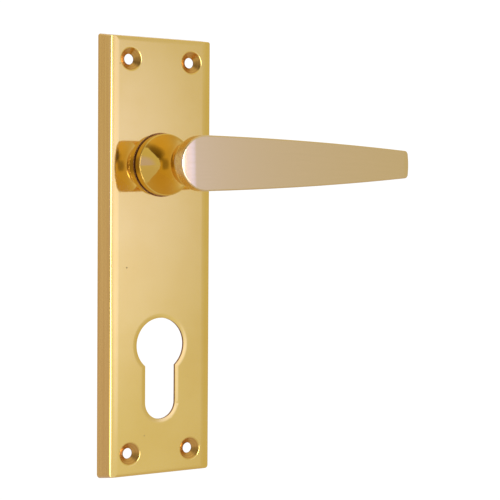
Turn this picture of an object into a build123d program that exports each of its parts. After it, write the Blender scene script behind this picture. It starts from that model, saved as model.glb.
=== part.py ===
from build123d import *
from math import atan, cos, degrees, pi, radians, sin
import os

# Lever door handle on a rectangular backplate that is pierced for a euro profile cylinder.
# Frame: the origin is on the spindle axis in the plate's mounting plane. +X runs along the
# lever, +Z is up and +Y points into the door, so every visible surface lies at negative Y.
# All sizes are in millimetres. A name ending in _Y is a distance from the mounting plane.

# ---- Backplate casting -------------------------------------------------------------------
PLATE_H = 152.0              # 6 in
PLATE_W = 41.5               # 1 5/8 in
PLATE_T = 7.15
PLATE_DRAFT = 1.1            # how much each side leans in from back to front
PLATE_CENTRE_Z = -31.6       # the spindle sits this far above the plate's middle
WALL = 2.0                   # thickness of the face and of the rim
FACE_Y = -PLATE_T
FLOOR_Y = FACE_Y + WALL      # floor of the hollow back
SIDE_ROLL = (3.4, 0.3)       # width and drop of the polished face's roll-off along each side
END_ROLL = (1.6, 0.06)       # the same along the top and the bottom
FRONT_EDGE_R = 0.5
TOP_CORNER_R = 1.0
BOTTOM_CORNER_R = 1.5
RIB_T = 1.8
RIB_ZS = (28.0, -28.0, -46.5, -91.0)
LEAN = PLATE_DRAFT / PLATE_T
TAPER = degrees(atan(LEAN))
MARGIN = 2.0                 # how far a cutter runs past what it cuts
MERGE = 0.5                  # how far joined bodies run into each other
NEAR = 0.01                  # edges closer to a plane than this lie in it

# ---- Fixing screw holes ------------------------------------------------------------------
SCREW_DX = 23.8              # 15/16 in
SCREW_DZ = 134.6             # 5 5/16 in
SCREW_HOLE_R = 1.8
COUNTERSINK_R = 3.9
COUNTERSINK_DEPTH = 1.6
COUNTERSINK_EDGE_R = 0.25

# ---- Euro profile cut-out ----------------------------------------------------------------
EURO_Z = -62.0               # cylinder centre below the spindle
EURO_R = 9.3                 # 17 mm cylinder with clearance
EURO_SLOT_R = 5.9            # 10 mm cylinder leg with clearance
EURO_BOTTOM_Z = -87.7
EURO_ROLL_W = 1.6            # the face rolls off this far round the cut-out
EURO_ROLL_DROP = 0.11
EURO_RELIEF = 1.0            # chamfer cast round the back of the cut-out

# ---- Lever casting -----------------------------------------------------------------------
FLANGE_R = 10.6
FLANGE_BACK_Y = -7.4
FLANGE_FRONT_Y = -10.8
FLANGE_BACK_EDGE = 0.6
FLANGE_FRONT_EDGE = 0.35
WAIST_R = 7.4
WAIST_Y = -20.3
FLARE_R = 9.0
GRIP_BACK_Y = -31.4
GRIP_FRONT_Y = -36.8
GRIP_END_R = 9.2             # rounded end behind the head
GRIP_SLOPE = 1.07            # degrees that each bowed side leans where it leaves the round end
GRIP_TIP_X = 85.7
GRIP_TIP_HALF = 4.85
TIP_CORNER_R = 1.5
TIP_BULGE = 0.5
TIP_THINNING = 0.7
GRIP_END_ROLL = (5.5, 0.5)   # length and drop of the face's roll-off at the round end
GRIP_TIP_ROLL = (2.5, 0.3)
GRIP_RISE = 0.85             # degrees above level, cast into the lever
GRIP_FRONT_EDGE_R = 0.5
GRIP_BACK_EDGE_R = 0.9
SHANK_R = 7.5
SHANK_END_Y = -0.15
SHANK_FLAT = 6.3             # half the distance across the two driving flats
SHANK_FLAT_Y = -4.45         # the flats run from here to the shank's end
SOCKET = 8.1                 # for an 8 mm square spindle
SOCKET_DEPTH = 22.0
SOCKET_EDGE = 0.4
LEVER_TRAVEL = 40.0          # degrees

# ---- Bearing at the plate's face -----------------------------------------------------------
RUNNING_GAP = 0.03
BUSH_R = 9.0
HUB_R = 11.8                 # raised ring on the cavity floor
HUB_Y = -4.48
RECESS_R = 10.0
RECESS_Y = -6.65
WASHER_R = 9.85
BUSH_PROUD = 0.01            # the bush ends this far behind the hub ring

# ---- Stop pins -----------------------------------------------------------------------------
PIN_R = 0.8
PIN_ORBIT = 10.4
PIN_FRONT_Y = -6.0
PIN_BACK_Y = -2.6
PIN_CHAMFER = 0.15
PIN_ANGLES = {"upper": 90.0, "lower": 270.0}
PIN_PLAY = 0.15
STOP_ANGLE_PLAY = 0.3        # degrees left between pin and slot at each stop

# ---- Return spring cassette ----------------------------------------------------------------
CUP_IN_R = 15.8
CUP_OUT_R = 17.4
CUP_HOLE_R = 12.0
CUP_FLOOR = (-5.1, -4.5)     # front and back of the cup's floor
CUP_BACK_Y = -1.1
EAR_FRONT_Y = -1.9
POST_X = 13.8
POST_Z = 19.2
POST_R = 2.7
ABUTMENT_START = -112.0      # face that the first spring stands on, degrees from +X
ABUTMENT_SPAN = 14.0
COVER = (-1.08, -0.28)
COVER_HOLE_R = 11.6
COVER_HALF_W = 17.2
COVER_HALF_H = 22.6
COVER_CORNER_R = 3.5
WINDOW_HALF_W = 0.8
WINDOW_SPAN = 68.0
SCREW_R = 1.2
SCREW_HEAD_R = 2.2
SCREW_TIP_Y = -4.3
SCREW_CLEAR_R = 1.4
SCREW_END_GAP = 0.1
THREAD_PLAY = 0.05
HEAD_PLAY = 0.02
SLOT_W = 0.5
SLOT_DEPTH = 0.35

# ---- Rotor, washers and retaining ring on the shank ----------------------------------------
ROTOR_HUB = (-4.42, -2.45)
ROTOR_WING = (-4.35, -1.55)
ROTOR_R = 12.2
WING_OUT_R = 15.6
WING_HALF_ANGLE = 8.0
THRUST_WASHER = (-2.43, -1.93)
THRUST_WASHER_R = 11.0
SPRING_WASHER = (-1.91, -1.4)
SPRING_WASHER_R = 10.4
SPRING_WASHER_T = 0.25
RING = (-1.38, -0.78)
RING_SEAT_R = 6.75
RING_R = 9.1
RING_LUG_R = 1.35
RING_LUG_ORBIT = 9.2
RING_GAP_HALF_ANGLE = 20.0
BORE_PLAY = 0.06
GROOVE_PLAY = 0.03

# ---- Return springs ------------------------------------------------------------------------
SPRING_ORBIT = 14.1
SPRING_COIL_R = 1.22
SPRING_WIRE_R = 0.26
SPRING_Y = -2.95
SPRING_TURNS = 15
SPRING_POINTS_PER_TURN = 8
SPRING_END_GAP = 0.4


def facing(y):
    """Plane at depth y whose local axes are X and Z; extruding from it goes towards -Y."""
    return Plane(origin=(0, y, 0), x_dir=(1, 0, 0), z_dir=(0, -1, 0))


def slab(shape, front_y, back_y):
    """Straight extrusion of a flat X-Z shape between two depths."""
    return extrude(facing(back_y) * shape, back_y - front_y)


def ring(outer_r, inner_r, front_y, back_y):
    return slab(Circle(outer_r) - Circle(inner_r), front_y, back_y)


def polar(radius, angle):
    return radius * cos(radians(angle)), radius * sin(radians(angle))


def sector(inner_r, outer_r, start, span):
    """Flat annular sector, from start over span degrees, anticlockwise from +X."""
    mid = start + span / 2
    outline = (
        Line(polar(inner_r, start), polar(outer_r, start))
        + ThreePointArc(polar(outer_r, start), polar(outer_r, mid), polar(outer_r, start + span))
        + Line(polar(outer_r, start + span), polar(inner_r, start + span))
        + ThreePointArc(polar(inner_r, start + span), polar(inner_r, mid), polar(inner_r, start))
    )
    return make_face(outline)


def kidney(orbit, half_width, start, span):
    """Arc-shaped slot with round ends whose end centres are at start and start + span."""
    slot = sector(orbit - half_width, orbit + half_width, start, span)
    for angle in (start, start + span):
        slot += Pos(*polar(orbit, angle)) * Circle(half_width)
    return slot


def screw_places():
    for sx in (-1, 1):
        for sz in (-1, 1):
            yield sx * SCREW_DX / 2, PLATE_CENTRE_Z + sz * SCREW_DZ / 2


def post_places():
    for sx in (-1, 1):
        for sz in (-1, 1):
            yield sx * POST_X, sz * POST_Z


# ---- Pieces fixed to the door --------------------------------------------------------------
def rolled_section(half, roll):
    """Section of the plate: leaning sides, rounded edges and a face that rolls off at both ends."""
    width, drop = roll
    edge_y = FACE_Y + drop
    edge_x = half + LEAN * edge_y
    flat_x = edge_x - width
    back_x = half + LEAN * MARGIN
    outline = Polyline((-edge_x, edge_y), (-back_x, MARGIN), (back_x, MARGIN), (edge_x, edge_y))
    outline += Line((-flat_x, FACE_Y), (flat_x, FACE_Y))
    for side in (-1, 1):
        outline += TangentArc((side * flat_x, FACE_Y), (side * edge_x, edge_y), tangent=(side, 0))
    section = make_face(outline)
    edges = [v for v in section.vertices() if abs(v.Y - edge_y) < drop / 2]
    return fillet(edges, FRONT_EDGE_R)


def upright_edges(solid):
    """Corner edges that run from back to front, lowest first."""
    return solid.edges().filter_by(lambda e: abs(e.tangent_at(0.5).Y) > 0.9).sort_by(Axis.Z)


def plate_shell():
    """Tapered hollow casting whose polished face rolls off towards its edges."""
    outer = extrude(facing(0) * Pos(0, PLATE_CENTRE_Z) * Rectangle(PLATE_W, PLATE_H), PLATE_T, taper=TAPER)
    outer = fillet(upright_edges(outer)[:2], BOTTOM_CORNER_R)
    outer = fillet(upright_edges(outer)[-2:], TOP_CORNER_R)
    outer &= extrude(rolled_section(PLATE_W / 2, SIDE_ROLL), PLATE_H, both=True)
    along = Plane(origin=(0, 0, PLATE_CENTRE_Z), x_dir=(0, 0, 1), z_dir=(-1, 0, 0))
    outer &= extrude(along * rolled_section(PLATE_H / 2, END_ROLL), PLATE_W, both=True)
    hollow = Rectangle(PLATE_W - 2 * WALL, PLATE_H - 2 * WALL)
    return outer - extrude(facing(0) * Pos(0, PLATE_CENTRE_Z) * hollow, PLATE_T - WALL, taper=TAPER)


def euro_cutter_section(radius):
    """Half section of the cut-out, from its middle to the face that rolls off into it."""
    rim_x = radius + EURO_ROLL_W
    roll_y = FACE_Y + EURO_ROLL_DROP
    outline = Polyline((rim_x, FACE_Y), (rim_x, FACE_Y - MARGIN), (0, FACE_Y - MARGIN), (0, MARGIN))
    outline += Polyline((0, MARGIN), (radius, MARGIN), (radius, roll_y))
    outline += TangentArc((rim_x, FACE_Y), (radius, roll_y), tangent=(-1, 0))
    return make_face(outline)


def euro_cutter():
    """Round part, leg and round bottom of the euro profile."""
    leg_z = EURO_BOTTOM_Z + EURO_SLOT_R
    half = euro_cutter_section(EURO_SLOT_R)
    cutter = Pos(0, 0, EURO_Z) * revolve(euro_cutter_section(EURO_R), Axis.Y)
    cutter += Pos(0, 0, leg_z) * revolve(half, Axis.Y)
    for leg_half in (half, mirror(half, Plane.YZ)):
        cutter += Pos(0, 0, leg_z) * extrude(leg_half, EURO_Z - leg_z)
    return cutter


def euro_back_edges(plate):
    return [
        e for e in plate.edges()
        if abs(e.center().Y - FLOOR_Y) < NEAR
        and abs(e.center().X) <= EURO_R
        and EURO_BOTTOM_Z - MERGE < e.center().Z < EURO_Z + EURO_R + MERGE
    ]


def countersunk_hole():
    """Cutter about the Y axis: a rounded rim, a cone and then a short straight land."""
    rim_x = COUNTERSINK_R + COUNTERSINK_EDGE_R
    cone_y = FACE_Y + COUNTERSINK_DEPTH
    end_y = FLOOR_Y + MARGIN
    outline = Polyline((rim_x, FACE_Y), (rim_x, FACE_Y - MARGIN), (0, FACE_Y - MARGIN), (0, end_y))
    outline += Polyline((0, end_y), (SCREW_HOLE_R, end_y), (SCREW_HOLE_R, cone_y))
    rim_end = (COUNTERSINK_R - COUNTERSINK_EDGE_R, FACE_Y + COUNTERSINK_EDGE_R)
    outline += TangentArc((rim_x, FACE_Y), rim_end, tangent=(-1, 0))
    outline += Line(rim_end, (SCREW_HOLE_R, cone_y))
    return revolve(make_face(outline), Axis.Y)


def backplate():
    plate = plate_shell()
    inner_w = PLATE_W - 2 * WALL
    for z in RIB_ZS:
        plate += slab(Pos(0, z) * Rectangle(inner_w, RIB_T), FLOOR_Y, 0)
    plate += slab(Circle(HUB_R), FLOOR_Y, HUB_Y)
    for x, z in post_places():
        plate += slab(Pos(x, z) * Circle(POST_R), FLOOR_Y, EAR_FRONT_Y)
        plate -= slab(Pos(x, z) * Circle(SCREW_R + THREAD_PLAY), SCREW_TIP_Y, 0)
    plate -= euro_cutter()
    plate = chamfer(euro_back_edges(plate), EURO_RELIEF)
    for x, z in screw_places():
        plate -= Pos(x, 0, z) * countersunk_hole()
    plate -= slab(Circle(BUSH_R), FACE_Y - MARGIN, 0)
    plate -= slab(Circle(RECESS_R), FACE_Y - MARGIN, RECESS_Y)
    for angle in PIN_ANGLES.values():
        plate -= slab(Pos(*polar(PIN_ORBIT, angle)) * Circle(PIN_R), PIN_FRONT_Y, 0)
    return plate


def pivot_bush():
    """Plain bearing sleeve that the lever's shank turns in."""
    return ring(BUSH_R, SHANK_R + RUNNING_GAP, RECESS_Y, HUB_Y + BUSH_PROUD)


def front_washer():
    """Thin anti-rattle washer let into the plate's face under the lever's flange."""
    return ring(WASHER_R, SHANK_R + BORE_PLAY, FLANGE_BACK_Y + RUNNING_GAP, RECESS_Y)


def stop_pin(angle):
    """Dowel pressed into the plate; it runs in the rotor's curved slot."""
    pin = slab(Pos(*polar(PIN_ORBIT, angle)) * Circle(PIN_R), PIN_FRONT_Y, PIN_BACK_Y)
    return chamfer(pin.edges().group_by(Axis.Y)[-1], PIN_CHAMFER)


def spring_housing():
    """Cup with an open back, two spring abutments and four fixing ears."""
    cup = ring(CUP_OUT_R, CUP_HOLE_R, *CUP_FLOOR)
    cup += ring(CUP_OUT_R, CUP_IN_R, CUP_FLOOR[0], CUP_BACK_Y)
    for turn in (0, 180):
        start = ABUTMENT_START - ABUTMENT_SPAN + turn
        block = sector(CUP_HOLE_R + MERGE, CUP_IN_R + MERGE, start, ABUTMENT_SPAN)
        cup += slab(block, CUP_FLOOR[0], CUP_BACK_Y)
    for x, z in post_places():
        bearing = degrees(atan(z / x))
        reach = (POST_X**2 + POST_Z**2) ** 0.5
        middle = (CUP_IN_R + CUP_OUT_R) / 2
        arm = Pos((middle + reach) / 2, 0) * Rectangle(reach - middle, 2 * POST_R)
        arm += Pos(reach, 0) * Circle(POST_R)
        turn = bearing if x > 0 else bearing + 180
        cup += slab(Rot(0, 0, turn) * arm, EAR_FRONT_Y, CUP_BACK_Y)
    for x, z in post_places():
        cup -= slab(Pos(x, z) * Circle(SCREW_CLEAR_R), EAR_FRONT_Y, CUP_BACK_Y)
    return cup


def housing_cover():
    """Flat steel cover with two windows through which the springs can be seen."""
    blank = RectangleRounded(2 * COVER_HALF_W, 2 * COVER_HALF_H, COVER_CORNER_R) - Circle(COVER_HOLE_R)
    spring_middle = (ABUTMENT_START - WING_HALF_ANGLE) / 2
    for turn in (0, 180):
        start = spring_middle - WINDOW_SPAN / 2 + turn
        blank -= kidney(SPRING_ORBIT, WINDOW_HALF_W, start, WINDOW_SPAN)
    cover = slab(blank, *COVER)
    for x, z in post_places():
        cover -= Pos(x, 0, z) * screw_head_cone(0)
    return cover


def screw_head_cone(play):
    profile = Polyline(
        (0, COVER[1]),
        (SCREW_HEAD_R - play, COVER[1]),
        (SCREW_CLEAR_R - play, COVER[0]),
        (0, COVER[0]),
        close=True,
    )
    return revolve(make_face(profile), Axis.Y)


def cover_screws():
    """Four countersunk slotted machine screws."""
    screws = []
    for x, z in post_places():
        screw = screw_head_cone(HEAD_PLAY) + slab(Circle(SCREW_R), SCREW_TIP_Y + SCREW_END_GAP, COVER[0])
        screw -= slab(Rectangle(2 * SCREW_HEAD_R, SLOT_W), COVER[1] - SLOT_DEPTH, COVER[1])
        screws.append(Pos(x, 0, z) * screw)
    return Compound(children=screws)


# ---- Pieces that turn with the lever -------------------------------------------------------
def head():
    """Turned flange and waisted neck, with the plain shank behind them."""
    shank_top = (SHANK_R, FLANGE_BACK_Y)
    back = (FLANGE_R - FLANGE_BACK_EDGE, FLANGE_BACK_Y)
    back_side = (FLANGE_R, FLANGE_BACK_Y - FLANGE_BACK_EDGE)
    front_side = (FLANGE_R, FLANGE_FRONT_Y + FLANGE_FRONT_EDGE)
    front = (FLANGE_R - FLANGE_FRONT_EDGE, FLANGE_FRONT_Y)
    flare = (FLARE_R, GRIP_BACK_Y)
    end_y = GRIP_BACK_Y - MARGIN
    outline = (
        Polyline((0, SHANK_END_Y), (SHANK_R, SHANK_END_Y), shank_top, back)
        + TangentArc(back, back_side, tangent=(1, 0))
        + Line(back_side, front_side)
        + TangentArc(front_side, front, tangent=(0, -1))
        + ThreePointArc(front, (WAIST_R, WAIST_Y), flare)
        + Polyline(flare, (FLARE_R - MARGIN / 2, end_y), (0, end_y), (0, SHANK_END_Y))
    )
    return revolve(make_face(outline), Axis.Y)


def grip_outline():
    """Front view: a round end, two gently bowed sides and a nearly straight tip."""
    shoulder = polar(GRIP_END_R, 90 - GRIP_SLOPE)
    tip = (GRIP_TIP_X - TIP_BULGE, GRIP_TIP_HALF)
    low_shoulder = (shoulder[0], -shoulder[1])
    low_tip = (tip[0], -tip[1])
    outline = (
        TangentArc(shoulder, tip, tangent=polar(1, -GRIP_SLOPE))
        + ThreePointArc(tip, (GRIP_TIP_X, 0), low_tip)
        + TangentArc(low_shoulder, low_tip, tangent=polar(1, GRIP_SLOPE))
        + ThreePointArc(low_shoulder, (-GRIP_END_R, 0), shoulder)
    )
    face = make_face(outline)
    corners = [v for v in face.vertices() if v.X > GRIP_TIP_X - MARGIN]
    return fillet(corners, TIP_CORNER_R)


def grip_side():
    """Plan view: the bar thins a little towards the tip and its face rolls off at both ends."""
    left = -GRIP_END_R
    right = GRIP_TIP_X
    half = TIP_THINNING / 2
    roll_start = (left + GRIP_END_ROLL[0], GRIP_FRONT_Y)
    roll_end = (right - GRIP_TIP_ROLL[0], GRIP_FRONT_Y + half)
    left_front = (left, GRIP_FRONT_Y + GRIP_END_ROLL[1])
    right_front = (right, GRIP_FRONT_Y + half + GRIP_TIP_ROLL[1])
    along = (roll_end[0] - roll_start[0], half)
    outline = Polyline(
        left_front,
        (left - MARGIN, left_front[1]),
        (left - MARGIN, GRIP_BACK_Y),
        (right + MARGIN, GRIP_BACK_Y - half),
        (right + MARGIN, right_front[1]),
        right_front,
    )
    outline += TangentArc(roll_start, left_front, tangent=(-along[0], -along[1]))
    outline += Line(roll_start, roll_end)
    outline += TangentArc(roll_end, right_front, tangent=along)
    return make_face(outline)


def grip():
    bar = slab(grip_outline(), GRIP_FRONT_Y - MARGIN, GRIP_BACK_Y + MARGIN)
    bar &= extrude(grip_side(), GRIP_END_R + MARGIN, both=True)
    bar = fillet([e for e in bar.edges() if e.center().Y > GRIP_BACK_Y - TIP_THINNING], GRIP_BACK_EDGE_R)
    front = [e for e in bar.edges() if e.center().Y < GRIP_FRONT_Y + TIP_THINNING]
    outline = [e for e in front if e.geom_type != GeomType.LINE or abs(e.center().Z) > MARGIN]
    bar = fillet(outline, GRIP_FRONT_EDGE_R)
    return Rot(0, -GRIP_RISE, 0) * bar


def lever_handle():
    lever = head() + grip()
    for side in (-1, 1):
        flat = Pos(0, side * (SHANK_FLAT + SHANK_R)) * Rectangle(2 * SHANK_R, 2 * SHANK_R)
        lever -= slab(flat, SHANK_FLAT_Y, 0)
    lever -= ring(SHANK_R + MARGIN, RING_SEAT_R, RING[0] - GROOVE_PLAY, RING[1] + GROOVE_PLAY)
    lever -= slab(Rectangle(SOCKET, SOCKET), SHANK_END_Y - SOCKET_DEPTH, 0)
    lead_in = extrude(
        facing(SHANK_END_Y) * Rectangle(SOCKET + 2 * SOCKET_EDGE, SOCKET + 2 * SOCKET_EDGE),
        SOCKET_EDGE,
        taper=45,
    )
    return lever - lead_in


def shank_bore(play):
    """Hole that fits the shank and its two flats."""
    return Circle(SHANK_R + play) & Rectangle(4 * SHANK_R, 2 * (SHANK_FLAT + play))


def return_rotor():
    """Hub keyed on the shank's flats, with two wings and the two curved stop slots."""
    rotor = slab(Circle(ROTOR_R), *ROTOR_HUB)
    for turn in (0, 180):
        wing = sector(ROTOR_R - MERGE, WING_OUT_R, turn - WING_HALF_ANGLE, 2 * WING_HALF_ANGLE)
        rotor += slab(wing, *ROTOR_WING)
    for angle in PIN_ANGLES.values():
        start = angle - STOP_ANGLE_PLAY
        slot = kidney(PIN_ORBIT, PIN_R + PIN_PLAY, start, LEVER_TRAVEL + 2 * STOP_ANGLE_PLAY)
        rotor -= slab(slot, *ROTOR_HUB)
    return rotor - slab(shank_bore(0), *ROTOR_HUB)


def thrust_washer():
    blank = Circle(THRUST_WASHER_R) - shank_bore(0)
    return slab(blank, *THRUST_WASHER)


def spring_washer():
    """Washer bent to a shallow curve, which takes up the end play."""
    front, back = SPRING_WASHER
    reach = SPRING_WASHER_R + MARGIN
    crest = back - SPRING_WASHER_T
    bowed = (
        ThreePointArc((-reach, front), (0, crest), (reach, front))
        + Line((reach, front), (reach, front + SPRING_WASHER_T))
        + ThreePointArc((reach, front + SPRING_WASHER_T), (0, back), (-reach, front + SPRING_WASHER_T))
        + Line((-reach, front + SPRING_WASHER_T), (-reach, front))
    )
    blank = ring(SPRING_WASHER_R, SHANK_R + BORE_PLAY, front - MARGIN, back + MARGIN)
    return blank & extrude(make_face(bowed), reach, both=True)


def retaining_ring():
    """External circlip with two plier lugs beside its gap."""
    gap = RING_GAP_HALF_ANGLE
    band = sector(RING_SEAT_R, RING_R, gap - 90, 360 - 2 * gap)
    for side in (-1, 1):
        place = polar(RING_LUG_ORBIT, side * gap - 90)
        band += Pos(*place) * Circle(RING_LUG_R)
    band -= Circle(RING_SEAT_R)
    for side in (-1, 1):
        place = polar(RING_LUG_ORBIT, side * gap - 90)
        band -= Pos(*place) * Circle(RING_LUG_R / 2)
    return slab(band, *RING)


def return_spring(turn):
    """Compression spring bent round the shank between an abutment and a rotor wing."""
    end_margin = degrees((SPRING_WIRE_R + SPRING_END_GAP) / SPRING_ORBIT)
    start = ABUTMENT_START + end_margin + turn
    span = -WING_HALF_ANGLE - ABUTMENT_START - 2 * end_margin
    steps = SPRING_TURNS * SPRING_POINTS_PER_TURN
    points = []
    for step in range(steps + 1):
        angle = start + span * step / steps
        phase = 2 * pi * step / SPRING_POINTS_PER_TURN
        x, z = polar(SPRING_ORBIT + SPRING_COIL_R * cos(phase), angle)
        points.append((x, SPRING_Y + SPRING_COIL_R * sin(phase), z))
    path = Spline(points)
    section = Plane(origin=path @ 0, z_dir=path % 0) * Circle(SPRING_WIRE_R)
    return sweep(section, path)


def build():
    return {
        "backplate": backplate(),
        "pivot_bush": pivot_bush(),
        "front_washer": front_washer(),
        "stop_pin_upper": stop_pin(PIN_ANGLES["upper"]),
        "stop_pin_lower": stop_pin(PIN_ANGLES["lower"]),
        "spring_housing": spring_housing(),
        "housing_cover": housing_cover(),
        "cover_screws": cover_screws(),
        "lever_handle": lever_handle(),
        "return_rotor": return_rotor(),
        "thrust_washer": thrust_washer(),
        "spring_washer": spring_washer(),
        "retaining_ring": retaining_ring(),
        "return_spring_right": return_spring(0),
        "return_spring_left": return_spring(180),
    }


os.makedirs("parts", exist_ok=True)
for name, shape in build().items():
    export_step(shape, f"parts/{name}.step")
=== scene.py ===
import math
from collections import namedtuple

import bmesh
import bpy
from mathutils import Matrix, Vector


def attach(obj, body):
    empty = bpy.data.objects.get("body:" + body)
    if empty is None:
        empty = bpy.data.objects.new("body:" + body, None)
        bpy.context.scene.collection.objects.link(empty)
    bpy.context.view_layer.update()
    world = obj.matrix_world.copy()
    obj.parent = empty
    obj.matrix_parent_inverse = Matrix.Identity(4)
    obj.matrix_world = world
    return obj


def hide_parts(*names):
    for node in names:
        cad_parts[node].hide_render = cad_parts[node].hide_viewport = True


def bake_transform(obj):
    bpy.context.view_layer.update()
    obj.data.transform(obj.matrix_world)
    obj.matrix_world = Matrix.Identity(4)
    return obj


# Looks for a brass lever door handle on a euro profile backplate. Lengths are in metres, and
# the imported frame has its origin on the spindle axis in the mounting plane, with -Y to the front.
MM = 0.001

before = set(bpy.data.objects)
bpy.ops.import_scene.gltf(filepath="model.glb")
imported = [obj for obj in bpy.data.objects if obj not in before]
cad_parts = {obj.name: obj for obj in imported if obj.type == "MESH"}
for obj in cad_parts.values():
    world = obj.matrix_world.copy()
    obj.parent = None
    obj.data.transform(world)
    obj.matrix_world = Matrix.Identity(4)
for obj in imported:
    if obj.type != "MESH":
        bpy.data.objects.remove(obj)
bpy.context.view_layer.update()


def direction(azimuth, elevation):
    """Unit vector; azimuth 0 points out of the door (-Y) and grows towards +X."""
    a, e = math.radians(azimuth), math.radians(elevation)
    return Vector((math.sin(a) * math.cos(e), -math.cos(a) * math.cos(e), math.sin(e)))


# ---- Camera ------------------------------------------------------------------------------------
CAMERA_AZIMUTH = -33.322
CAMERA_ELEVATION = 1.71
CAMERA_ROLL = 0.359
CAMERA_DISTANCE = 543.8 * MM
CAMERA_TARGET = Vector((41.47, 0.0, -29.95)) * MM
CAMERA_LENS = 107.59
CAMERA_SENSOR = 36.0
CAMERA_CLIP_START = 10.0 * MM


def camera_axes():
    back = direction(CAMERA_AZIMUTH, CAMERA_ELEVATION)
    level = (-back).cross(Vector((0, 0, 1))).normalized()
    upright = level.cross(-back)
    roll = math.radians(CAMERA_ROLL)
    right = level * math.cos(roll) + upright * math.sin(roll)
    up = upright * math.cos(roll) - level * math.sin(roll)
    return right, up, back


def make_camera():
    data = bpy.data.cameras.new("camera")
    data.lens = CAMERA_LENS
    data.sensor_width = CAMERA_SENSOR
    data.clip_start = CAMERA_CLIP_START
    camera = bpy.data.objects.new("camera", data)
    bpy.context.collection.objects.link(camera)
    right, up, back = camera_axes()
    turn = Matrix((right, up, back)).transposed().to_4x4()
    camera.matrix_world = Matrix.Translation(CAMERA_TARGET + back * CAMERA_DISTANCE) @ turn
    bpy.context.scene.camera = camera


# ---- Small helpers for node trees --------------------------------------------------------------
# Noise cells per metre along each axis, and the noise's own detail and roughness.
Grain = namedtuple("Grain", "scale detail roughness")
NOISE_LOW, NOISE_HIGH = 0.3, 0.7  # nearly all noise values lie between these


class Tree:
    """A short way to add nodes. Values are numbers, tuples or other nodes' sockets, and an
    input goes by its name, or as i0, i1 and so on by its place."""

    def __init__(self, tree):
        self.tree = tree
        tree.nodes.clear()

    def node(self, kind, settings=None, **inputs):
        made = self.tree.nodes.new(kind)
        for name, value in (settings or {}).items():
            setattr(made, name, value)
        for name, value in inputs.items():
            self.join(made, name.replace("_", " "), value)
        return made

    def join(self, made, name, value):
        by_place = name[0] == "i" and name[1:].isdigit()
        socket = made.inputs[int(name[1:]) if by_place else name]
        if isinstance(value, bpy.types.NodeSocket):
            self.tree.links.new(value, socket)
        else:
            socket.default_value = value

    def math(self, operation, a, b=0.0):
        return self.node("ShaderNodeMath", {"operation": operation}, i0=a, i1=b).outputs[0]

    def times(self, a, b):
        return self.math("MULTIPLY", a, b)

    def distance(self, a, b=0.0):
        """How far apart two numbers lie."""
        return self.math("ABSOLUTE", self.math("SUBTRACT", a, b))

    def vector(self, operation, *values):
        inputs = {f"i{place}": value for place, value in enumerate(values)}
        return self.node("ShaderNodeVectorMath", {"operation": operation}, **inputs).outputs

    def dot(self, a, b):
        return self.vector("DOT_PRODUCT", a, b)["Value"]

    def length(self, a):
        return self.vector("LENGTH", a)["Value"]

    def scaled(self, a, by):
        return self.vector("MULTIPLY", a, by)[0]

    def combined(self, x=0.0, y=0.0, z=0.0):
        return self.node("ShaderNodeCombineXYZ", X=x, Y=y, Z=z).outputs[0]

    def parts(self, vector):
        return self.node("ShaderNodeSeparateXYZ", Vector=vector).outputs

    def smooth(self, value, low, high, to_low=0.0, to_high=1.0):
        made = self.node("ShaderNodeMapRange", {"interpolation_type": "SMOOTHSTEP"}, i0=value)
        for place, number in enumerate((low, high, to_low, to_high), start=1):
            self.join(made, f"i{place}", number)
        return made.outputs[0]

    def below(self, value, limit, soft):
        """1 where the value is under the limit, 0 where it is over."""
        return self.smooth(value, limit - soft, limit + soft, 1.0, 0.0)

    def noise(self, place, grain):
        made = self.node("ShaderNodeTexNoise", Vector=self.scaled(place, grain.scale), Scale=1.0)
        self.join(made, "Detail", grain.detail)
        self.join(made, "Roughness", grain.roughness)
        return made.outputs["Fac"]

    def stretched(self, noise, to_low=0.0, to_high=1.0):
        """Noise spread over the whole of the given range."""
        return self.smooth(noise, NOISE_LOW, NOISE_HIGH, to_low, to_high)

    def blend(self, factor, a, b):
        """Mix of two numbers."""
        mixed = self.node("ShaderNodeMix", {"data_type": "FLOAT"}, i0=factor, i2=a, i3=b)
        return mixed.outputs[0]

    def mix(self, factor, a, b):
        """Mix of two colours."""
        mixed = self.node("ShaderNodeMix", {"data_type": "RGBA"}, i0=factor, i6=a, i7=b)
        return mixed.outputs[2]

    def bump(self, shader, height, strength, distance):
        made = self.node("ShaderNodeBump", Strength=strength, Distance=distance, Height=height)
        self.join(shader, "Normal", made.outputs[0])

    def for_camera(self, shader, seen_shader):
        """One shader for what the light does, another for what the camera sees directly."""
        seen = self.node("ShaderNodeLightPath").outputs["Is Camera Ray"]
        both = self.node("ShaderNodeMixShader", i0=seen, i1=shader.outputs[0])
        self.join(both, "i2", seen_shader.outputs[0])
        return both


def new_material(name):
    material = bpy.data.materials.new(name)
    material.use_nodes = True
    return material, Tree(material.node_tree)


def finish_material(t, shader):
    t.node("ShaderNodeOutputMaterial", Surface=shader.outputs[0])


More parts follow.
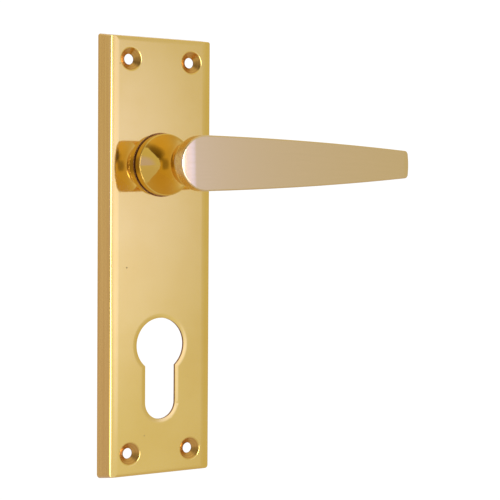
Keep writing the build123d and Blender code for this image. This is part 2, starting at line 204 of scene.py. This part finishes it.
# ---- World and floor ---------------------------------------------------------------------------
PAPER_WHITE = (1.05, 1.05, 1.05, 1)
AMBIENT = (0.64, 0.63, 0.62)
SOFT_LIGHTS = (
    # azimuth, elevation, inner angle, outer angle, colour added
    (4.0, 3.0, 4.0, 9.0, (8.0, 8.0, 12.0)),
    (4.0, -7.0, 4.0, 9.0, (6.0, 6.0, 9.0)),
    (22.0, 0.5, 3.0, 11.2, (0.27, 0.34, 1.55)),
    (22.0, -8.0, 3.0, 12.0, (0.08, 0.10, 0.05)),
    (15.0, 1.0, 3.0, 13.0, (0.12, 0.08, -0.10)),
    (13.0, 1.0, 10.0, 30.0, (0.06, 0.10, 0.50)),
    (-33.0, 0.0, 5.0, 21.0, (-0.32, -0.32, -0.32)),
    (-56.0, 36.0, 8.0, 34.0, (-0.50, -0.50, -0.50)),
    (-98.0, 0.0, 10.0, 32.0, (-0.04, -0.03, 1.00)),
    (0.0, 80.0, 25.0, 60.0, (0.10, 0.10, 0.10)),
    (160.0, 15.0, 20.0, 55.0, (0.22, 0.22, 0.22)),
)
FLOOR_Z = -0.175
FLOOR_HALF = 4.0
FLOOR_FRONT = -0.25
FLOOR_GREYS = (0.10, 0.10, 0.10, 1), (0.12, 0.12, 0.12, 1)
FLOOR_SHARE = 0.86, 0.9  # how far the paper's fibres go from the first grey to the second
FLOOR_FIBRES = Grain((40.0, 40.0, 40.0), 3.0, 0.5)
FLOOR_ROUGHNESS = 0.9
FLOOR_GLOW = (1.0, 0.96, 1.15, 1)
FLOOR_GLOW_STRENGTH = 0.52


def make_world():
    """Even light all round, brighter where a lobe adds to it; only the camera sees white paper."""
    world = bpy.data.worlds.new("studio")
    bpy.context.scene.world = world
    world.use_nodes = True
    t = Tree(world.node_tree)
    look = t.node("ShaderNodeTexCoord").outputs["Generated"]
    light = AMBIENT
    for azimuth, elevation, inner, outer, colour in SOFT_LIGHTS:
        facing = t.dot(look, direction(azimuth, elevation))
        lobe = t.smooth(facing, math.cos(math.radians(outer)), math.cos(math.radians(inner)))
        light = t.vector("MULTIPLY_ADD", t.combined(lobe, lobe, lobe), colour, light)[0]
    studio = t.node("ShaderNodeBackground", Color=light)
    paper = t.node("ShaderNodeBackground", Color=PAPER_WHITE)
    t.node("ShaderNodeOutputWorld", Surface=t.for_camera(studio, paper).outputs[0])


def make_floor():
    mesh = bpy.data.meshes.new("floor")
    corners = [
        (-FLOOR_HALF, FLOOR_FRONT),
        (FLOOR_HALF, FLOOR_FRONT),
        (FLOOR_HALF, FLOOR_HALF),
        (-FLOOR_HALF, FLOOR_HALF),
    ]
    mesh.from_pydata([(x, y, FLOOR_Z) for x, y in corners], [], [(0, 1, 2, 3)])
    floor = bpy.data.objects.new("floor", mesh)
    bpy.context.collection.objects.link(floor)
    material, t = new_material("paper_floor")
    place = t.node("ShaderNodeTexCoord").outputs["Object"]
    fibres = t.stretched(t.noise(place, FLOOR_FIBRES), *FLOOR_SHARE)
    paper = t.node("ShaderNodeBsdfPrincipled", Roughness=FLOOR_ROUGHNESS)
    t.join(paper, "Base Color", t.mix(fibres, *FLOOR_GREYS))
    t.join(paper, "Emission Color", FLOOR_GLOW)
    t.join(paper, "Emission Strength", FLOOR_GLOW_STRENGTH)
    lit = t.node("ShaderNodeEmission", Color=PAPER_WHITE)
    finish_material(t, t.for_camera(paper, lit))
    mesh.materials.append(material)


# ---- Materials ---------------------------------------------------------------------------------
# A finish is a light and a deep tone, a roughness, a relief height and a weight of lacquer.
Finish = namedtuple("Finish", "light deep roughness height lacquer")
PLATE_POLISH = Finish((0.90, 0.61, 0.13, 1), (0.88, 0.585, 0.115, 1), 0.045, 0.02, 0.4)
LEVER_POLISH = Finish((0.86, 0.56, 0.10, 1), (0.82, 0.52, 0.085, 1), 0.05, 0.02, 0.05)
LINISHED = Finish((0.86, 0.54, 0.14, 1), (0.74, 0.425, 0.095, 1), 0.26, 0.5, 0.3)
SAND_CAST = Finish((0.72, 0.50, 0.19, 1), (0.50, 0.33, 0.12, 1), 0.5, 3.0, 0.0)
TURNED = Finish((0.86, 0.50, 0.12, 1), (0.50, 0.24, 0.04, 1), 0.24, 1.2, 0.1)
# Dark brass that paints shade on the cut-out and bore walls, round the lever's flange and on the
# flange's back edge; its roughness stands for the rough as-cut surface.
SHADE_PAINTED_BRASS = Finish((0.46, 0.22, 0.07, 1), (0.26, 0.11, 0.03, 1), 0.5, 1.0, 0.0)
SATIN = Finish((0.815, 0.59, 0.25, 1), (0.795, 0.575, 0.235, 1), 0.13, 0.03, 0.15)
LACQUER_ROUGHNESS = 0.2
RELIEF_STRENGTH = 0.5
RELIEF_DEPTH = 0.02 * MM
POLISH_ROUGHNESS_SHARE = 0.8, 1.25
FINISH_ROUGHNESS_SHARE = 1.2, 0.85

CLOUDS = Grain((45.0, 45.0, 45.0), 4.0, 0.55)
CLOUD_LOW, CLOUD_HIGH = 0.35, 0.65
HAIRLINES = Grain((900.0, 900.0, 40.0), 2.0, 0.6)
SIDE_STREAKS = Grain((12.0, 2600.0, 12.0), 3.0, 0.6)
RIM_STREAKS = Grain((2200.0, 60.0, 30.0), 3.0, 0.6)
LEVER_STROKES = Grain((60.0, 900.0, 1400.0), 3.0, 0.55)
SHANK_RINGS = Grain((60.0, 4000.0, 60.0), 3.0, 0.6)
SINK_RINGS = Grain((6000.0, 1.0, 1.0), 3.0, 0.7)
SAND = Grain((1800.0, 1800.0, 1800.0), 5.0, 0.7)

PIT_COLOUR = (0.20, 0.10, 0.02, 1)
PITS_PER_METRE = 350.0
PIT_SIZE, PIT_EDGE = 0.08, 0.03
PIT_PATCHES = Grain((90.0, 90.0, 90.0), 3.0, 0.5)
PIT_PATCH_LOW, PIT_PATCH_HIGH = 0.63, 0.66

# Where the finishes and the painted shade lie. A pair is a limit and its softness, or where a fade
# starts and ends.
PLATE_MIDDLE_Z = -31.6 * MM
PLATE_SIDE_NORMAL = 0.28, 0.06
HOLLOW_HALF_W = 19.3 * MM, 0.1 * MM
HOLLOW_HALF_H = 74.6 * MM, 0.1 * MM
HOLLOW_FADE_Y = -5.6 * MM, -5.3 * MM
RIM_NORMAL = 0.8, 0.95
RIM_FADE_Y = -0.3 * MM, -0.1 * MM
SCREW_HALF_DX = 11.9 * MM
SCREW_HALF_DZ = 67.3 * MM
SINK_R = 3.95 * MM, 0.15 * MM
SINK_FADE_Y = -7.05 * MM, -6.85 * MM
SINK_END_Y = -5.4 * MM, 0.1 * MM
# The cut-out's and the screw bores' inner walls are painted dark as shade.
BORE_WALL_R = 1.9 * MM, 0.05 * MM
EURO_WALL_Z = -69.2 * MM
EURO_WALL_HALF_W = 10.0 * MM, 0.2 * MM
EURO_WALL_HALF_H = 19.0 * MM, 0.2 * MM
# A ring on the plate round the lever's flange, painted dark as the shade in the gap between the
# two.
CREVICE_R = 11.0 * MM, 0.15 * MM
CREVICE_FADE_Y = -6.0 * MM, -7.0 * MM
GRIP_LIMIT_Y = -32.3 * MM, 0.7 * MM
GRIP_SIDE_NORMAL = 0.30, 0.08
# Bands along the flange's back edge beside the plate, painted dark as shade.
FLANGE_EDGE_FADES_Y = (-8.3 * MM, -8.0 * MM), (-7.2 * MM, -7.3 * MM)
SHANK_FADE_Y = -7.2 * MM, -7.0 * MM

INSIDE_METALS = (
    # name, light and dark tone, roughness, cells of mottle per metre, CAD nodes
    ("cast_zinc", (0.60, 0.61, 0.63, 1), (0.50, 0.51, 0.53, 1), 0.5, 600.0,
     ("spring_housing", "return_rotor")),
    ("zinc_plated_steel", (0.76, 0.76, 0.73, 1), (0.66, 0.66, 0.63, 1), 0.28, 200.0,
     ("housing_cover", "cover_screws", "thrust_washer")),
    ("ground_steel", (0.50, 0.50, 0.52, 1), (0.42, 0.42, 0.44, 1), 0.25, 400.0,
     ("stop_pin_upper", "stop_pin_lower")),
    ("spring_steel", (0.40, 0.40, 0.44, 1), (0.30, 0.30, 0.33, 1), 0.3, 500.0,
     ("spring_washer", "retaining_ring")),
)
METAL_MOTTLE_DETAIL = 5.0
METAL_MOTTLE_ROUGHNESS = 0.6
METAL_ROUGHNESS_SHARE = 1.2, 0.8
METAL_RELIEF_STRENGTH = 0.15
METAL_RELIEF_DEPTH = 0.1 * MM
ACETAL_TONES = (0.80, 0.79, 0.74, 1), (0.86, 0.85, 0.80, 1)
ACETAL_NODES = ("pivot_bush", "front_washer")
ACETAL_CLOUDS = Grain((300.0, 300.0, 300.0), 3.0, 0.5)
ACETAL_ROUGHNESS = 0.35, 0.45
ACETAL_SUBSURFACE = 0.1


def speckle(t, place):
    """Rare tiny casting pits, 1 in a pit and 0 elsewhere."""
    cells = t.node("ShaderNodeTexVoronoi", Vector=place, Scale=PITS_PER_METRE)
    pit = t.below(cells.outputs["Distance"], PIT_SIZE, PIT_EDGE)
    return t.times(pit, t.smooth(t.noise(place, PIT_PATCHES), PIT_PATCH_LOW, PIT_PATCH_HIGH))


def roughness_pair(finish, share):
    return finish.roughness * share[0], finish.roughness * share[1]


def brass_finish(t, place, polish, layers):
    """Polished brass under layers of other finishes, each a mask, a pattern and a finish."""
    cloud = t.smooth(t.noise(place, CLOUDS), CLOUD_LOW, CLOUD_HIGH)
    hair = t.noise(place, HAIRLINES)
    colour = t.mix(cloud, polish.light, polish.deep)
    rough = t.stretched(hair, *roughness_pair(polish, POLISH_ROUGHNESS_SHARE))
    relief = t.times(hair, polish.height)
    lacquer = polish.lacquer
    for mask, pattern, finish in layers:
        layer_rough = t.stretched(pattern, *roughness_pair(finish, FINISH_ROUGHNESS_SHARE))
        colour = t.mix(mask, colour, t.mix(t.stretched(pattern), finish.deep, finish.light))
        rough = t.blend(mask, rough, layer_rough)
        relief = t.blend(mask, relief, t.times(pattern, finish.height))
        lacquer = t.blend(mask, lacquer, finish.lacquer)
    pit = speckle(t, place)
    shader = t.node("ShaderNodeBsdfPrincipled", Metallic=1.0, Coat_Roughness=LACQUER_ROUGHNESS)
    t.join(shader, "Base Color", t.mix(pit, colour, PIT_COLOUR))
    t.join(shader, "Roughness", rough)
    t.join(shader, "Coat Weight", lacquer)
    t.bump(shader, t.math("SUBTRACT", relief, pit), RELIEF_STRENGTH, RELIEF_DEPTH)
    finish_material(t, shader)


def plate_material():
    """Polished face, linished sides, sand-cast hollow and freshly turned countersinks; the cut-out
    and bore walls and a ring round the lever's flange are painted dark as shade.
    """
    material, t = new_material("plate_brass")
    coords = t.node("ShaderNodeTexCoord").outputs
    place = coords["Object"]
    x, y, z = t.parts(place)
    turned_back = t.parts(coords["Normal"])[1]
    across = t.distance(x)
    up = t.distance(z, PLATE_MIDDLE_Z)

    side = t.below(t.distance(turned_back), *PLATE_SIDE_NORMAL)
    within = t.times(t.below(across, *HOLLOW_HALF_W), t.below(up, *HOLLOW_HALF_H))
    hollow = t.times(within, t.smooth(y, *HOLLOW_FADE_Y))
    rim = t.times(t.smooth(turned_back, *RIM_NORMAL), t.smooth(y, *RIM_FADE_Y))

    out_x = t.math("SUBTRACT", across, SCREW_HALF_DX)
    out_z = t.math("SUBTRACT", up, SCREW_HALF_DZ)
    reach = t.length(t.combined(out_x, out_z))
    cone = t.times(t.smooth(y, *SINK_FADE_Y), t.below(y, *SINK_END_Y))
    sink = t.times(t.below(reach, *SINK_R), cone)
    # Painted shade: the screw bores' and the cut-out's inner walls are darkened.
    bore_wall = t.times(side, t.below(reach, *BORE_WALL_R))

    above = t.distance(z, EURO_WALL_Z)
    opening = t.times(t.below(across, *EURO_WALL_HALF_W), t.below(above, *EURO_WALL_HALF_H))
    walls_painted_shade = t.math("MAXIMUM", t.times(side, opening), bore_wall)

    # Painted shade on the plate in a ring round the lever's flange.
    axis_gap = t.length(t.scaled(place, (1, 0, 1)))
    crevice_shade = t.times(t.below(axis_gap, *CREVICE_R), t.smooth(y, *CREVICE_FADE_Y))

    sand = t.noise(place, SAND)
    rings = t.noise(t.combined(reach, out_x, out_z), SINK_RINGS)
    brass_finish(t, place, PLATE_POLISH, (
        (side, t.noise(place, SIDE_STREAKS), LINISHED),
        (hollow, sand, SAND_CAST),
        (rim, t.noise(place, RIM_STREAKS), LINISHED),
        (sink, rings, TURNED),
        # Painted shade on the walls and on the ring round the flange.
        (walls_painted_shade, sand, SHADE_PAINTED_BRASS),
        (crevice_shade, sand, SHADE_PAINTED_BRASS),
    ))
    return material


def lever_material():
    """Mirror-polished head; the grip is finished a little paler and softer; the flange's back edge
    is painted dark as shade.
    """
    material, t = new_material("lever_brass")
    coords = t.node("ShaderNodeTexCoord").outputs
    place = coords["Object"]
    y = t.parts(place)[1]
    turned_back = t.parts(coords["Normal"])[1]
    grip = t.below(y, *GRIP_LIMIT_Y)
    side = t.times(grip, t.below(t.distance(turned_back), *GRIP_SIDE_NORMAL))
    # Painted shade on the flange's back edge next to the plate.
    flange_edge_shade = t.times(*(t.smooth(y, *fade) for fade in FLANGE_EDGE_FADES_Y))
    shank = t.smooth(y, *SHANK_FADE_Y)
    strokes = t.noise(place, LEVER_STROKES)
    brass_finish(t, place, LEVER_POLISH, (
        (grip, strokes, SATIN),
        (side, strokes, LINISHED),
        # Painted shade on the flange's back edge.
        (flange_edge_shade, strokes, SHADE_PAINTED_BRASS),
        (shank, t.noise(place, SHANK_RINGS), LINISHED),
    ))
    return material


def metal_material(name, light, dark, roughness, cells_per_metre):
    material, t = new_material(name)
    place = t.node("ShaderNodeTexCoord").outputs["Object"]
    grain = Grain((cells_per_metre,) * 3, METAL_MOTTLE_DETAIL, METAL_MOTTLE_ROUGHNESS)
    mottle = t.noise(place, grain)
    roughest, smoothest = (roughness * share for share in METAL_ROUGHNESS_SHARE)
    shader = t.node("ShaderNodeBsdfPrincipled", Metallic=1.0)
    t.join(shader, "Base Color", t.mix(t.stretched(mottle), dark, light))
    t.join(shader, "Roughness", t.stretched(mottle, roughest, smoothest))
    t.bump(shader, mottle, METAL_RELIEF_STRENGTH, METAL_RELIEF_DEPTH)
    finish_material(t, shader)
    return material


def acetal_material():
    material, t = new_material("acetal")
    cloud = t.noise(t.node("ShaderNodeTexCoord").outputs["Object"], ACETAL_CLOUDS)
    shader = t.node("ShaderNodeBsdfPrincipled", Subsurface_Weight=ACETAL_SUBSURFACE)
    t.join(shader, "Base Color", t.mix(cloud, *ACETAL_TONES))
    t.join(shader, "Roughness", t.stretched(cloud, *ACETAL_ROUGHNESS))
    finish_material(t, shader)
    return material


def dress(nodes, material):
    for node in nodes:
        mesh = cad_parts[node].data
        mesh.materials.clear()
        mesh.materials.append(material)


# ---- Backplate and lever with one smooth skin; the plate's roll-offs in fine steps -------------
PLATE_FACE_Y = -7.15 * MM
PLATE_HALF_W = 20.75 * MM
PLATE_HALF_H = 76.0 * MM
PLATE_LEAN = 1.1 / 7.15
SIDE_ROLL_W = 3.4 * MM
SIDE_ROLL_DROP = 0.3 * MM
END_ROLL_W = 1.6 * MM
END_ROLL_DROP = 0.06 * MM
EURO_MIDDLE_Z = -62.0 * MM
EURO_R = 9.3 * MM
LEG_R = 5.9 * MM
LEG_END_Z = -81.8 * MM
EURO_ROLL_W = 1.6 * MM
EURO_ROLL_DROP = 0.11 * MM
EURO_ROLL_MARGIN = 0.01 * MM
EURO_ROLL_CUTS = 7
ROLL_STEPS = 14
COUNTERSINK_RIM_R = 4.2 * MM
FACING_FRONT = -0.95

SAME_POINT = 0.0002 * MM
DEGENERATE = 0.003 * MM
SAME_PLANE = math.radians(0.03)
SMOOTH_COSINE = 0.88
FLAT_AREA = 15.0 * MM * MM


def roll_starts():
    """Half width and half height where the sides' and the ends' roll-offs meet the edge."""
    half_w = PLATE_HALF_W + PLATE_LEAN * (PLATE_FACE_Y + SIDE_ROLL_DROP)
    half_h = PLATE_HALF_H + PLATE_LEAN * (PLATE_FACE_Y + END_ROLL_DROP)
    return half_w, half_h


def euro_distance(x, z):
    """How far a point of the face lies outside the cylinder cut-out."""
    leg_z = min(max(z, LEG_END_Z), EURO_MIDDLE_Z)
    return min(math.hypot(x, z - EURO_MIDDLE_Z) - EURO_R, math.hypot(x, z - leg_z) - LEG_R)


def rolled(inset, width, drop):
    """How far back the face lies at this distance from the edge that it rolls off to."""
    share = min(max(1 - inset / width, 0.0), 1.0)
    return drop * share * share


def face_y(x, z):
    half_w, half_h = roll_starts()
    side = rolled(half_w - abs(x), SIDE_ROLL_W, SIDE_ROLL_DROP)
    end = rolled(half_h - abs(z - PLATE_MIDDLE_Z), END_ROLL_W, END_ROLL_DROP)
    euro = rolled(euro_distance(x, z), EURO_ROLL_W, EURO_ROLL_DROP)
    return PLATE_FACE_Y + max(side, end, euro)


def faces_front(element):
    return any(face.normal.y < FACING_FRONT for face in element.link_faces)


def at_countersink(x, z):
    out_x = abs(x) - SCREW_HALF_DX
    out_z = abs(z - PLATE_MIDDLE_Z) - SCREW_HALF_DZ
    return math.hypot(out_x, out_z) < COUNTERSINK_RIM_R


def cut_along(bm, normal, offset):
    """Cuts the polished face's polygons along a plane."""
    faces = [face for face in bm.faces if face.normal.y < FACING_FRONT]
    around = set(faces)
    for face in faces:
        around.update(face.edges)
        around.update(face.verts)
    bmesh.ops.bisect_plane(
        bm, geom=list(around), dist=0.0, plane_co=normal * offset, plane_no=normal)


def crosses_euro_roll(edge):
    """True for the face's edges that run outwards over the roll-off round the cut-out."""
    near, far = sorted(euro_distance(vert.co.x, vert.co.z) for vert in edge.verts)
    in_roll = near > -EURO_ROLL_MARGIN and far < EURO_ROLL_W + EURO_ROLL_MARGIN
    return faces_front(edge) and in_roll and far - near > EURO_ROLL_W / 4


def refine_plate(bm):
    """Cuts the plate's mesh into narrow strips where the polished face rolls off."""
    half_w, half_h = roll_starts()
    for step in range(ROLL_STEPS):
        left = 1 - step / ROLL_STEPS
        for side in (-1, 1):
            cut_along(bm, Vector((1, 0, 0)), side * (half_w - SIDE_ROLL_W * left))
            cut_along(bm, Vector((0, 0, 1)), PLATE_MIDDLE_Z + side * (half_h - END_ROLL_W * left))
    crossing = [edge for edge in bm.edges if crosses_euro_roll(edge)]
    bmesh.ops.subdivide_edges(bm, edges=crossing, cuts=EURO_ROLL_CUTS)
    bm.normal_update()
    for vert in bm.verts:
        shallow = vert.co.y < PLATE_FACE_Y + SIDE_ROLL_DROP
        if shallow and faces_front(vert) and not at_countersink(vert.co.x, vert.co.z):
            vert.co.y = face_y(vert.co.x, vert.co.z)


def corner_normal(face, neighbours):
    """Normal at a face's corner: that of a large face there, or else the smooth faces' mean."""
    smooth = [other for other in neighbours if other.normal.dot(face.normal) > SMOOTH_COSINE]
    largest = max(smooth, key=lambda other: other.area)
    if largest.area > FLAT_AREA:
        return largest.normal.copy()
    return sum((other.normal * other.area for other in smooth), Vector()).normalized()


def set_even_normals(mesh):
    mesh.shade_smooth()
    mesh.set_sharp_from_angle(angle=math.acos(SMOOTH_COSINE))
    around = [[] for _ in mesh.vertices]
    for face in mesh.polygons:
        for vertex in face.vertices:
            around[vertex].append(face)
    normals = []
    for face in mesh.polygons:
        normals += [corner_normal(face, around[vertex]) for vertex in face.vertices]
    mesh.normals_split_custom_set(normals)


def polished_copy(node, name, body, material, reshape=None):
    """A piece that stands for a CAD node, with one smooth polished skin over its faces."""
    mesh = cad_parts[node].data.copy()
    bm = bmesh.new()
    bm.from_mesh(mesh)
    bmesh.ops.remove_doubles(bm, verts=bm.verts, dist=SAME_POINT)
    bm.normal_update()
    if reshape:
        reshape(bm)
    bmesh.ops.dissolve_degenerate(bm, edges=bm.edges, dist=DEGENERATE)
    bmesh.ops.dissolve_limit(bm, angle_limit=SAME_PLANE, verts=bm.verts, edges=bm.edges)
    bm.to_mesh(mesh)
    bm.free()
    set_even_normals(mesh)
    mesh.materials.clear()
    mesh.materials.append(material)
    piece = bpy.data.objects.new(name, mesh)
    bpy.context.collection.objects.link(piece)
    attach(piece, body)
    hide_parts(node)


# ---- Return springs ----------------------------------------------------------------------------
SPRING_ORBIT = 14.1 * MM
SPRING_COIL_R = 1.22 * MM
SPRING_WIRE_R = 0.26 * MM
SPRING_Y = -2.95 * MM
SPRING_TURNS = 15
SPRING_START = -110.6
SPRING_END = -9.4
CLOSED_TURNS = 1.25
CLOSED_PITCH = 2.2 * SPRING_WIRE_R
STEPS_PER_TURN = 20
WIRE_SIDES = 8


def on_arc(angle, out=0.0, back=0.0):
    """Point on the springs' arc round the shank, or this far outwards and back from it."""
    a = math.radians(angle)
    radius = SPRING_ORBIT + out
    return radius * math.cos(a), SPRING_Y + back, radius * math.sin(a)


def spring_angle(share):
    """Angle along the arc for a share of the turns; the last turns at each end lie close."""
    turn = share * SPRING_TURNS
    wire_step = math.degrees(CLOSED_PITCH / SPRING_ORBIT)
    closed = CLOSED_TURNS * wire_step
    if turn < CLOSED_TURNS:
        return SPRING_START + turn * wire_step
    if turn > SPRING_TURNS - CLOSED_TURNS:
        return SPRING_END - (SPRING_TURNS - turn) * wire_step
    middle = (turn - CLOSED_TURNS) / (SPRING_TURNS - 2 * CLOSED_TURNS)
    return SPRING_START + closed + middle * (SPRING_END - SPRING_START - 2 * closed)


def wire_centres(half_turn):
    """Along the wire: each point on its centre line, and the coil's own middle beside it."""
    steps = SPRING_TURNS * STEPS_PER_TURN
    for step in range(steps + 1):
        angle = spring_angle(step / steps) + half_turn
        phase = 2 * math.pi * step / STEPS_PER_TURN
        offset = SPRING_COIL_R * math.cos(phase), SPRING_COIL_R * math.sin(phase)
        yield Vector(on_arc(angle, *offset)), Vector(on_arc(angle))


def make_spring(name, half_turn, material):
    points, hubs = zip(*wire_centres(half_turn))
    bm = bmesh.new()
    rings = []
    for index, (point, hub) in enumerate(zip(points, hubs)):
        before, after = points[max(index - 1, 0)], points[min(index + 1, len(points) - 1)]
        along = (after - before).normalized()
        out = point - hub
        out = (out - along * out.dot(along)).normalized()
        side = along.cross(out)
        ring = []
        for corner in range(WIRE_SIDES):
            turn = 2 * math.pi * corner / WIRE_SIDES
            spoke = out * math.cos(turn) + side * math.sin(turn)
            ring.append(bm.verts.new(point + spoke * SPRING_WIRE_R))
        rings.append(ring)
    for first, second in zip(rings, rings[1:]):
        for corner in range(WIRE_SIDES):
            next_corner = (corner + 1) % WIRE_SIDES
            quad = first[corner], first[next_corner], second[next_corner], second[corner]
            bm.faces.new(quad)
    bm.faces.new(rings[0][::-1])
    bm.faces.new(rings[-1])
    bmesh.ops.recalc_face_normals(bm, faces=bm.faces)
    mesh = bpy.data.meshes.new(name)
    bm.to_mesh(mesh)
    bm.free()
    mesh.shade_smooth()
    mesh.materials.append(material)
    spring = bpy.data.objects.new(name, mesh)
    bpy.context.collection.objects.link(spring)
    return spring


def add_springs(material):
    for name, half_turn in (("return_spring_right", 0), ("return_spring_left", 180)):
        spring = make_spring(name + "_coil", half_turn, material)
        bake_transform(spring)
        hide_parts(name)


# ---- Everything together -----------------------------------------------------------------------
make_camera()
make_world()
make_floor()
bpy.context.scene.view_settings.view_transform = "Standard"

polished_copy("backplate", "backplate_polished", "door_plate", plate_material(), refine_plate)
polished_copy("lever_handle", "lever_polished", "lever", lever_material())
metals = {}
for name, light, dark, roughness, cells_per_metre, nodes in INSIDE_METALS:
    metals[name] = metal_material(name, light, dark, roughness, cells_per_metre)
    dress(nodes, metals[name])
dress(ACETAL_NODES, acetal_material())
add_springs(metals["spring_steel"])
